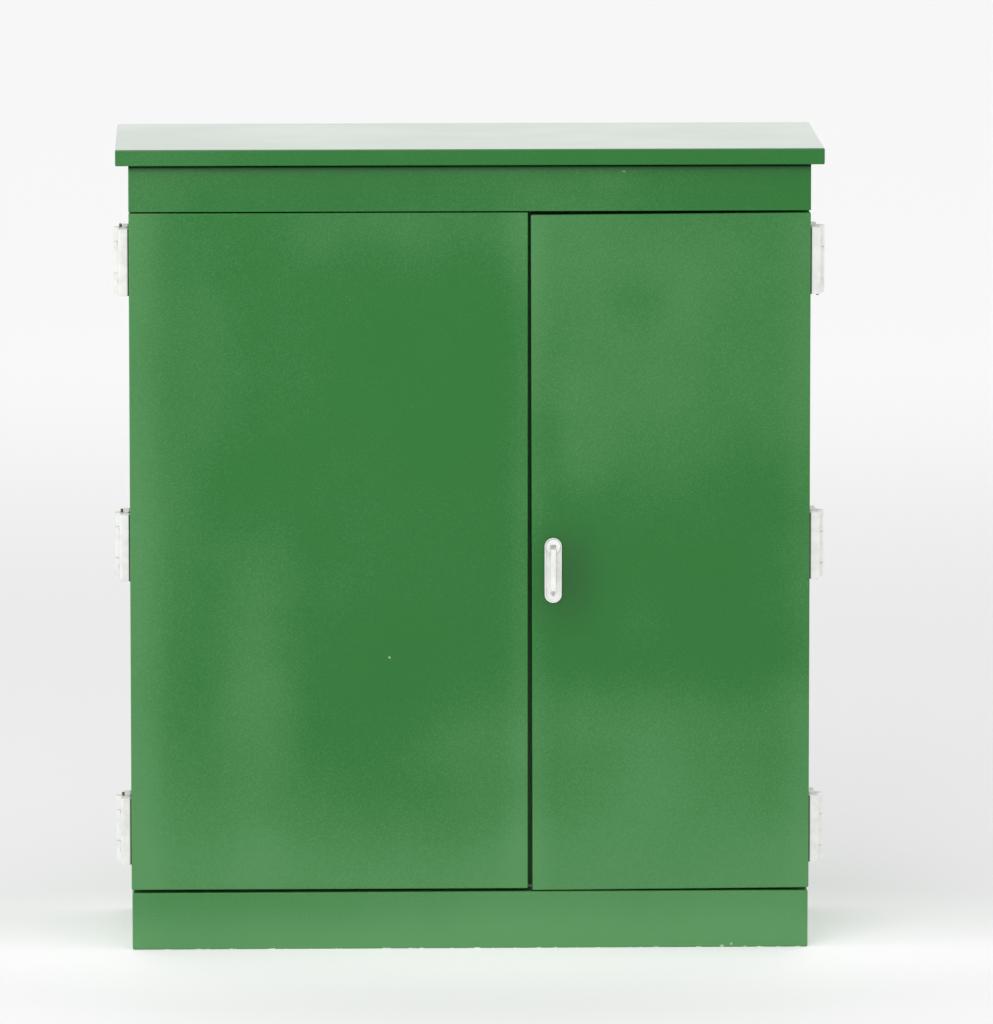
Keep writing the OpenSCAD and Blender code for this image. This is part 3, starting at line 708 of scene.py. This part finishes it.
def groove(bm, axis, at, width, depth, keep=lambda face: True):
    """Cuts a groove round a piece, across the given axis at a place along it, in the faces to keep."""
    normal = Vector([float(i == axis) for i in range(3)])
    for edge in (at - width / 2, at + width / 2):
        bmesh.ops.bisect_plane(bm, geom=bm.verts[:] + bm.edges[:] + bm.faces[:], plane_co=normal * edge,
                               plane_no=normal, dist=SAME_POINT)
    strip = [f for f in bm.faces if abs(f.calc_center_median()[axis] - at) < width / 2
             and abs(f.normal[axis]) < 0.5 and keep(f)]
    bmesh.ops.inset_region(bm, faces=strip, thickness=0, depth=-depth, use_even_offset=True)


# %% [markdown]
# ## Turned and forged fixings
# Screws and bolts are turned or forged, and each head is a stack of rings: a ring is drawn out, widened or
# narrowed, and the last one is closed. A spun outline would do for round heads, but a ring here can also have
# six corners, which gives a hexagon head or a socket. A profile is a list of rings, in millimetres. All the
# fixings of a kind are one piece, because a hundred small objects would be slower to handle.

# %% Turning a head


def turned(bm, profile, place, toward, ring):
    """A stack of rings of (radius, height) or (radius, height, corners), pointing the way it is told."""
    start = bmesh.ops.create_circle(bm, cap_ends=True, radius=1, segments=ring)
    verts = start["verts"]
    made = list(verts)
    loop = list({e for v in verts for e in v.link_edges})
    for number, step in enumerate(profile):
        if number:
            grown = bmesh.ops.extrude_edge_only(bm, edges=loop)["geom"]
            verts = [g for g in grown if isinstance(g, bmesh.types.BMVert)]
            loop = [g for g in grown if isinstance(g, bmesh.types.BMEdge)
                    and all(v in verts for v in g.verts)]
            made += verts
        radius, height, corners = (*step, 0)[:3]
        for v in verts:
            angle = math.atan2(v.co.y, v.co.x)
            flat = 1.0
            if corners:
                half = math.pi / corners
                flat = math.cos(half) / math.cos(angle % (2 * half) - half)
            v.co = (radius * flat * math.cos(angle), radius * flat * math.sin(angle), height)
    bmesh.ops.edgeloop_fill(bm, edges=loop)
    faces = list({f for v in made for f in v.link_faces})
    bmesh.ops.recalc_face_normals(bm, faces=faces)
    aim = Vector(toward).to_track_quat("Z", "Y").to_matrix().to_4x4()
    bmesh.ops.transform(bm, matrix=Matrix.Translation(place) @ aim @ Matrix.Scale(MM, 4), verts=made)


# %% Rows of fixings
RING = 24


def fixings(name, profile, places, toward, slot, body, ring=RING):
    """Many of the same fixing as one piece."""
    bm = bmesh.new()
    for place in places:
        turned(bm, profile, place, toward, ring)
    print(name, len(places))
    add_piece(name, bm, slot, body)


# %% [markdown]
# ## Carcass
# The roof, the header, the plinth and the walls are folded from sheet: the outside corners of a press-brake
# fold have a radius a little over the sheet's own thickness. They could be built again from flat sheets, but
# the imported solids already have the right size, so copies of them are softened. Only edges on a piece's outer
# box are folds, so the test picks those and leaves the cut edges crisp.

# %% Carcass
FOLD, SIDE_FOLD, BACK_EDGE = 2.4 * MM, 1.7 * MM, 0.7 * MM
CARCASS_FOLDS = {"roof_cap": ("roof_sheet", FOLD, None), "plinth": ("plinth_frame", FOLD, plinth_paint),
                 "side_panel_left": ("side_sheet_left", SIDE_FOLD, None),
                 "side_panel_right": ("side_sheet_right", SIDE_FOLD, None),
                 "back_panel": ("back_sheet", BACK_EDGE, None)}
carcass_pieces = {node: soften(node, name, radius, 4, on_outer_box(*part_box(node)), paint)
                  for node, (name, radius, paint) in CARCASS_FOLDS.items()}

# %% [markdown]
# ### Top of the roof
# The top of the roof lies open to the sky, gathers dust and mirrors the room at a low angle. It could be a
# thin piece of its own, but it is the same sheet, so its faces get a second material on the same mesh.

# %% Top of the roof
roof_mesh = carcass_pieces["roof_cap"].data
roof_mesh.materials.append(roof_top_paint)
for face in roof_mesh.polygons:
    if face.normal.z > 0.5 and face.center.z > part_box("roof_cap")[1].z - FOLD:
        face.material_index = 1
print("roof faces on top", sum(face.material_index for face in roof_mesh.polygons))

# %% [markdown]
# ### Header
# The fixed panel over the doors meets the roof with its top edge set back, which leaves a dark gap. Dark
# paint would look grey there, because satin paint mirrors the floor, so the gap is cut as a real groove.

# %% Header
GAP_HIGH, GAP_DEEP = 4.8 * MM, 8 * MM
bm = merged_copy("header_fascia")
groove(bm, 2, header_high.z - GAP_HIGH / 2, GAP_HIGH, GAP_DEEP, lambda face: face.normal.y < -0.5)
print("header edges rounded", round_edges(bm, FOLD, 4, on_outer_box(header_low, header_high)))
add_piece("header_sheet", bm, "green_paint", "carcass", ["header_fascia"], header_paint)

# %% [markdown]
# ### Plates and rails
# Flat plates and folded rails have sheared edges, which would cut a hand that reaches in, so they are only
# just broken, by about half a millimetre. A Bevel node in the finish could fake so small a radius, but a real
# one keeps its glint in every renderer. The radii are in millimetres.

# %% Plates and rails
CARCASS_PLATES = {"floor_pan": 0.6, "gland_plate": 0.5, "ceiling": 0.6, "head_rail": 0.5, "sill_rail": 0.5,
                  "mullion": 0.6, "mounting_plate_left": 0.5, "mounting_plate_right": 0.5, "standoffs": 0.7}
for node, radius in CARCASS_PLATES.items():
    soften(node, f"{node}_sheet", radius * MM, 2)

# %% [markdown]
# ### Screws of the back panel
# The back panel is screwed on from outside, all the way round its rim. The places could be typed in, but an
# even pitch that is fitted between the corners stays right if the cabinet's size changes.

# %% Screws of the back panel
BUTTON_SCREW = [(4.6, 0), (4.6, 0.5), (4.1, 1.4), (3.0, 2.0), (2.1, 2.1), (1.7, 2.1, 6), (1.7, 0.9, 6)]
BACK_INSET, BACK_PITCH = 14 * MM, 190 * MM


def spread(low, high, pitch):
    """Even places from low to high, no further apart than pitch."""
    count = max(1, math.ceil((high - low) / pitch))
    return [low + (high - low) * i / count for i in range(count + 1)]


low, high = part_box("back_panel")
xs = spread(low.x + BACK_INSET, high.x - BACK_INSET, BACK_PITCH)
zs = spread(low.z + BACK_INSET, high.z - BACK_INSET, BACK_PITCH)
rim = [(x, high.y, z) for x in xs for z in (zs[0], zs[-1])]
rim += [(x, high.y, z) for x in (xs[0], xs[-1]) for z in zs[1:-1]]
fixings("back_screws", BUTTON_SCREW, rim, (0, 1, 0), "plated_steel", "carcass")

# %% [markdown]
# ## Hinges
# A block hinge is two castings on a pin. The door's block is rounded where it lies beside the door, so a dark
# groove shows there, and every other edge of a casting is only broken. One bevel with one radius can't do
# both, so the block is bevelled twice: the wide radius first, because it needs the square corner, then the
# rest. The screws stand out from the side of the cabinet as far as the casting's face does, and lie in from
# its front end on the door's leaf and from its back end on the body's.

# %% Door half of a hinge
BLOCK_ROUND, BROKEN = 3.2 * MM, 0.6 * MM


def hinge_block(side, level):
    """The door's half of a hinge, rounded where it lies beside the door."""
    node = f"door_leaf_{side}_{level}"
    lo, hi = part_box(node)
    inner = lo.x if side == "right" else hi.x

    def beside_door(edge):
        spot = middle(edge)
        upright = abs(edge.verts[0].co.z - edge.verts[1].co.z) > (hi.z - lo.z) / 2
        return is_sharp(edge) and upright and abs(spot.x - inner) < CLOSE and spot.y < lo.y + CLOSE
    bm = merged_copy(node)
    rounded = round_edges(bm, BLOCK_ROUND, 6, beside_door)
    broken = round_edges(bm, BROKEN, 2)
    print(node, rounded, broken)
    add_piece(f"door_block_{side}_{level}", bm, slot_of_node[node], body_of_node[node], [node])


# %% Screws of a hinge
OVAL_SCREW = [(4.2, 0), (3.9, 0.35), (2.8, 0.75), (1.6, 0.9), (1.3, 0.9, 6), (1.3, 0.2, 6)]
FROM_MIDDLE = 28 * MM
OUT_AND_IN = {"door_leaf": (15.4 * MM, 12 * MM), "body_leaf": (11 * MM, -18 * MM)}


def leaf_screws(leaf, side, level):
    """Two screws in one leaf of a hinge, one above the other."""
    node = f"{leaf}_{side}_{level}"
    lo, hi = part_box(node)
    out, inwards = OUT_AND_IN[leaf]
    x = SIDES[side] * (SIDE_OF_CABINET + out)
    y = (lo.y if inwards > 0 else hi.y) + inwards
    places = [(x, y, (lo.z + hi.z) / 2 + up) for up in (-FROM_MIDDLE, FROM_MIDDLE)]
    fixings(f"{leaf}_screws_{side}_{level}", OVAL_SCREW, places, (SIDES[side], 0, 0), "plated_steel",
            body_of_node[node])


# %% All six hinges
for side in SIDES:
    for level in LEVELS:
        hinge_block(side, level)
        soften(f"body_leaf_{side}_{level}", f"body_block_{side}_{level}", BROKEN, 2)
        for leaf in OUT_AND_IN:
            leaf_screws(leaf, side, level)
    soften(f"hinge_pins_{side}", f"pins_{side}", 0.4 * MM, 2)

# %% [markdown]
# ## Doors
# Each door is a tray folded from one sheet, with a lip turned in round its back. The seal is a soft strip on
# the lip, and a rail down the free edge stiffens the door and carries its locking parts. The folds could be
# picked by the door's box alone, as on the carcass, but the doors hang a little askew and their edges leave
# that box, so this test allows some lean.

# %% Door trays
TRAY_FOLD, LEAN = 2.2 * MM, 4 * MM


def outer_fold(node):
    """A test for the outside folds of a door: its front rim and the short edges at its four corners."""
    lo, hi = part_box(node)

    def test(edge):
        spot = middle(edge)
        way = (edge.verts[1].co - edge.verts[0].co).normalized()
        near_x = min(spot.x - lo.x, hi.x - spot.x) < LEAN
        near_z = min(spot.z - lo.z, hi.z - spot.z) < LEAN
        rim = spot.y < lo.y + CLOSE and abs(way.y) < 0.1 and (near_x or near_z)
        return is_sharp(edge) and (rim or (abs(way.y) > 0.9 and near_x and near_z))
    return test


soften("door_left", "door_tray_left", TRAY_FOLD, 4, outer_fold("door_left"), left_door_paint)
soften("door_right", "door_tray_right", TRAY_FOLD, 4, outer_fold("door_right"), right_door_paint)

# %% Rails and seals of the doors
for side in SIDES:
    soften(f"edge_rail_{side}", f"free_edge_rail_{side}", 0.6 * MM, 2)
    soften(f"seal_{side}", f"door_seal_{side}", 1.5 * MM, 4)

# %% [markdown]
# ## Handle, lock and bolts
# The handle is a cast dish let into the door. A rotor turns in its upper end, a lever lies in the dish and
# lifts on a small pin, and the lock's plug sits below. Behind the door a cam throws two rods, and flat bolts
# hold the other door. One radius for them all would swallow the small pin, so each piece has its own, in
# millimetres.

# %% Handle, lock and bolts
LOCK_EDGES = {"handle_dish": ("dish", 0.7), "handle_rotor": ("rotor", 0.4),
              "handle_lever": ("lever", 0.9), "lever_pin": ("lever_rivet", 0.25),
              "lock_plug": ("lock_barrel", 0.3), "cam_plate": ("cam", 0.5),
              "rod_upper": ("upper_lock_rod", 0.6), "rod_lower": ("lower_lock_rod", 0.6),
              "rod_guides": ("lock_rod_guides", 0.7), "bolt_top": ("top_flat_bolt", 0.6),
              "bolt_bottom": ("bottom_flat_bolt", 0.6), "bolt_guides": ("flat_bolt_guides", 0.7)}
for node, (name, radius) in LOCK_EDGES.items():
    soften(node, name, radius * MM, 3)

# %% [markdown]
# ## Inside the doors
# A wide flat sheet drums, so two folded channels are spot-welded across the back of each door. A bevelled box
# would look much the same from afar, but it has no feet. So each is one strip of sheet: its section is drawn
# as a line, drawn out along the door, and given its thickness.

# %% Door stiffeners
HAT = ((0, -34), (0, -19), (12, -13), (12, 13), (0, 19), (0, 34))
HAT_SHEET, HAT_ROUND = 1.2 * MM, 0.5 * MM


def stiffener(name, span, y, z, body):
    """A hat section along X whose feet lie on the sheet at y."""
    bm = bmesh.new()
    line = [bm.verts.new((span[0], y + out * MM + HAT_SHEET / 2, z + up * MM)) for out, up in HAT]
    edges = [bm.edges.new(pair) for pair in zip(line, line[1:])]
    drawn = bmesh.ops.extrude_edge_only(bm, edges=edges)["geom"]
    bmesh.ops.translate(bm, verts=[v for v in drawn if isinstance(v, bmesh.types.BMVert)],
                        vec=(span[1] - span[0], 0, 0))
    bmesh.ops.recalc_face_normals(bm, faces=bm.faces)
    bmesh.ops.solidify(bm, geom=bm.faces[:], thickness=HAT_SHEET)
    bmesh.ops.recalc_face_normals(bm, faces=bm.faces)
    round_edges(bm, HAT_ROUND, 2, lambda edge: is_sharp(edge, 60))
    add_piece(name, bm, "green_paint", body)


# %% Two stiffeners on each door
DOOR_SHEET = 2 * MM
STIFFENER_HEIGHTS = {"upper": 0.87, "lower": 0.31}
CLEAR_OF_RAIL, CLEAR_OF_RIM = 1 * MM, 3 * MM
for side in SIDES:
    door_low, door_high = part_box(f"door_{side}")
    rail_low, rail_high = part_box(f"edge_rail_{side}")
    if side == "left":
        span = (door_low.x + CLEAR_OF_RIM, rail_low.x - CLEAR_OF_RAIL)
    else:
        span = (rail_high.x + CLEAR_OF_RAIL, door_high.x - CLEAR_OF_RIM)
    for level, z in STIFFENER_HEIGHTS.items():
        stiffener(f"stiffener_{side}_{level}", span, door_low.y + DOOR_SHEET, z, f"{side}_door")
    print("stiffeners of the", side, "door, length", round(span[1] - span[0], 4))

# %% [markdown]
# ## Floor and plates
# Each cable hole has a rubber grommet, whose lip runs round the hole on the plate's upper face. A torus would
# be quick, but it is round underneath, where a lip lies flat. So the lip's section is drawn in millimetres
# and spun once round the hole.

# %% Grommets
GROMMET = ((20.2, -0.2), (20.6, 1.6), (22.0, 2.4), (24.5, 2.0), (25.2, 0.6), (25.2, -0.2))
LIP_STEPS = 48


def lip_ring(bm, profile, place, toward):
    """A closed section of (radius, height) spun once round the way it points."""
    points = [bm.verts.new((radius * MM, 0, height * MM)) for radius, height in profile]
    edges = [bm.edges.new(pair) for pair in zip(points, points[1:] + points[:1])]
    bmesh.ops.spin(bm, geom=points + edges, cent=(0, 0, 0), axis=(0, 0, 1), angle=2 * math.pi,
                   steps=LIP_STEPS, use_merge=True)
    todo, seen = list(points), set(points)
    while todo:
        for edge in todo.pop().link_edges:
            for v in edge.verts:
                if v not in seen:
                    seen.add(v)
                    todo.append(v)
    ring = list(seen)
    bmesh.ops.recalc_face_normals(bm, faces=list({f for v in ring for f in v.link_faces}))
    aim = Vector(toward).to_track_quat("Z", "Y").to_matrix().to_4x4()
    bmesh.ops.transform(bm, matrix=Matrix.Translation(place) @ aim, verts=ring)


# %% Grommets in their holes
gland_low, gland_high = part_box("gland_plate")
bm = bmesh.new()
for mount in frame["record"]["mounts"]:
    if mount["name"].startswith("cable_entry"):
        x, y, _ = mount["pos_m"]
        lip_ring(bm, GROMMET, (x, y, gland_high.z), (0, 0, 1))
print("grommet faces", len(bm.faces))
add_piece("cable_grommets", bm, "seal_rubber", "carcass")

# %% [markdown]
# ### Screws and bolts of the plates
# Screws hold the gland plate to the floor, and hexagon bolts hold the mounting plates to their standoffs.
# The places could be read off a drawing, but worked out from each plate's own box they can't slide off it.

# %% Screws of the gland plate
GLAND_SCREW_IN = 8 * MM
gland_xs = (gland_low.x + GLAND_SCREW_IN, (gland_low.x + gland_high.x) / 2, gland_high.x - GLAND_SCREW_IN)
gland_ys = (gland_low.y + GLAND_SCREW_IN, gland_high.y - GLAND_SCREW_IN)
places = [(x, y, gland_high.z) for x in gland_xs for y in gland_ys]
fixings("gland_screws", BUTTON_SCREW, places, (0, 0, 1), "plated_steel", "carcass")

# %% Bolts of the mounting plates
HEX_BOLT = [(8.0, 0), (8.0, 1.3), (7.7, 1.6), (6.3, 1.6), (6.5, 1.7, 6), (6.5, 5.4, 6), (5.5, 6.0), (2, 6.1)]
PLATE_BOLT_IN = 25 * MM
places = []
for side in SIDES:
    lo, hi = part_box(f"mounting_plate_{side}")
    places += [(x, lo.y, z) for x in (lo.x + PLATE_BOLT_IN, hi.x - PLATE_BOLT_IN)
               for z in (lo.z + PLATE_BOLT_IN, hi.z - PLATE_BOLT_IN)]
fixings("plate_bolts", HEX_BOLT, places, (0, -1, 0), "plated_steel", "carcass")

# %% [markdown]
# ## Switchgear
# The cabinet holds a rail of breakers, a rail of terminals, a main switch with a knob, and an earth bar. The
# cases of the three breakers are moulded, with three poles each and a thin groove between the poles. The
# grooves could be dark lines in the finish, but a cut one catches the light on its edge.

# %% Breakers
GROOVE, GROOVE_DEEP = 0.7 * MM, 0.6 * MM
POLE, CASE_SEAM = 18 * MM, 12 * MM
TOGGLES = ("left", "middle", "right")
case_low, case_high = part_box("breakers")
pole_centres = [sum(corner.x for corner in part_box(f"toggle_{toggle}")) / 2 for toggle in TOGGLES]
bm = merged_copy("breakers")
round_edges(bm, 0.8 * MM, 2)
for centre in pole_centres:
    for step in (-0.5, 0.5):
        groove(bm, 0, centre + step * POLE, GROOVE, GROOVE_DEEP,
               lambda face: face.normal.y < -0.5 or abs(face.normal.z) > 0.5)
groove(bm, 1, case_high.y - CASE_SEAM, GROOVE, GROOVE_DEEP)
print("breaker_cases faces", len(bm.faces))
add_piece("breaker_cases", bm, "pale_plastic", "carcass", ["breakers"])

# %% [markdown]
# ### Clamps and toggles
# Every pole has a clamp at each end, a screw in a low round rim. Both could be cut into the case, but added
# on top of it they keep the case's mesh simple. The toggles are only rounded.

# %% Clamps and toggles
CLAMP_SCREW = [(3.4, 0), (3.4, 0.5), (2.9, 0.9), (1.8, 0.9), (1.7, 0.5)]
CLAMP_WELL = [(5.2, 0), (5.2, 0.5), (4.9, 0.7), (4.0, 0.7), (3.9, 0.15)]
STEP_BACK, CLAMP_UP = 20 * MM, 34 * MM
step_y = case_low.y + STEP_BACK
breaker_z = (case_low.z + case_high.z) / 2
ends = (breaker_z - CLAMP_UP, breaker_z + CLAMP_UP)
pole_xs = [centre + pole * POLE for centre in pole_centres for pole in (-1, 0, 1)]
clamps = [(x, step_y, z) for x in pole_xs for z in ends]
fixings("breaker_wells", CLAMP_WELL, clamps, (0, -1, 0), "grey_plastic", "carcass", ring=16)
fixings("breaker_screws", CLAMP_SCREW, clamps, (0, -1, 0), "plated_steel", "carcass", ring=16)
for toggle in TOGGLES:
    soften(f"toggle_{toggle}", f"toggle_bar_{toggle}", 0.9 * MM, 2)

# %% [markdown]
# ### Rails and terminals
# The switchgear clips on to rails of drawn steel. The terminals are slices of the same block, eight
# millimetres wide, each with two screws and a marker. Each slice could be modelled once and repeated, but the
# packed row already has them all, so only the screws and markers are added, at a pitch along the row's box.

# %% Rails and terminal blocks
soften("mounting_rails", "din_rails", 0.2 * MM, 2, material=drawn_steel)
soften("terminal_row", "terminal_blocks", 0.5 * MM, 2)

# %% Screws and markers of the terminals
TERMINAL, TERMINAL_START, TERMINAL_SCREW_UP = 8 * MM, 3.7 * MM, 14 * MM
row_low, row_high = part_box("terminal_row")
count = round((row_high.x - row_low.x) / TERMINAL)
xs = [row_low.x + TERMINAL_START + i * TERMINAL for i in range(count)]
mid_z = (row_low.z + row_high.z) / 2
SMALL_SCREW = [(2.3, 0), (2.3, 0.4), (1.9, 0.6)]
places = [(x, row_low.y, mid_z + up) for x in xs for up in (-TERMINAL_SCREW_UP, TERMINAL_SCREW_UP)]
fixings("terminal_screws", SMALL_SCREW, places, (0, -1, 0), "plated_steel", "carcass", ring=12)
MARKER = [(2.9, 0, 4), (2.9, 0.6, 4), (2.5, 0.8, 4)]
places = [(x, row_low.y, mid_z) for x in xs]
fixings("terminal_markers", MARKER, places, (0, -1, 0), "pale_plastic", "carcass", ring=4)

# %% [markdown]
# ### Earth bar
# A strip of copper stands off the plate on two feet, and a row of hexagon bolts takes the earth wires. The
# bolts never move, so they don't need nodes of their own: they are one piece, spread along the strip.

# %% Earth bar
soften("earth_bar", "earth_bar_strip", 0.5 * MM, 2)
EARTH_BOLT = [(6.3, 0, 6), (6.3, 5.3, 6), (5.4, 5.9), (2, 6.0)]
STRIP_OUT, EARTH_FIRST, EARTH_PITCH, EARTH_SPARE = 25 * MM, 30 * MM, 25 * MM, 40 * MM
bar_low, bar_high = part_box("earth_bar")
strip_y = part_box("mounting_plate_left")[0].y - STRIP_OUT
bolts = [(bar_low.x + EARTH_FIRST + i * EARTH_PITCH, strip_y, (bar_low.z + bar_high.z) / 2)
         for i in range(int((bar_high.x - bar_low.x - EARTH_SPARE) / EARTH_PITCH))]
fixings("earth_bolts", EARTH_BOLT, bolts, (0, -1, 0), "plated_steel", "carcass")

# %% [markdown]
# ### Main switch
# The switch is a moulded box in two halves, and the seam between them is a groove, a little wider than on
# the breakers. The dial round the knob could be painted on, but a raised ring is truer: it is spun like the
# lips of the grommets.

# %% Main switch
LID, SEAM_WIDE, SEAM_DEEP = 22 * MM, 1.2 * MM, 1 * MM
LID_SCREW_OUT, LID_SCREW_UP = 37 * MM, 52 * MM
switch_low, switch_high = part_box("main_switch")
switch_mid = (switch_low + switch_high) / 2
bm = merged_copy("main_switch")
round_edges(bm, 3 * MM, 4)
groove(bm, 1, switch_low.y + LID, SEAM_WIDE, SEAM_DEEP)
print("switch_case faces", len(bm.faces))
add_piece("switch_case", bm, "black_plastic", "carcass", ["main_switch"])
corners = [(switch_mid.x + out, switch_low.y, switch_mid.z + up)
           for out in (-LID_SCREW_OUT, LID_SCREW_OUT) for up in (-LID_SCREW_UP, LID_SCREW_UP)]
fixings("switch_screws", BUTTON_SCREW, corners, (0, -1, 0), "plated_steel", "carcass")

# %% Dial and knob
DIAL = ((25.5, -0.2), (25.5, 1.2), (26.2, 1.8), (33.0, 1.8), (34.0, 1.0), (34.0, -0.2))
bm = bmesh.new()
lip_ring(bm, DIAL, (switch_mid.x, switch_low.y, switch_mid.z), (0, -1, 0))
add_piece("switch_dial", bm, "grey_plastic", "carcass")
soften("switch_knob", "knob", 1.2 * MM, 3)
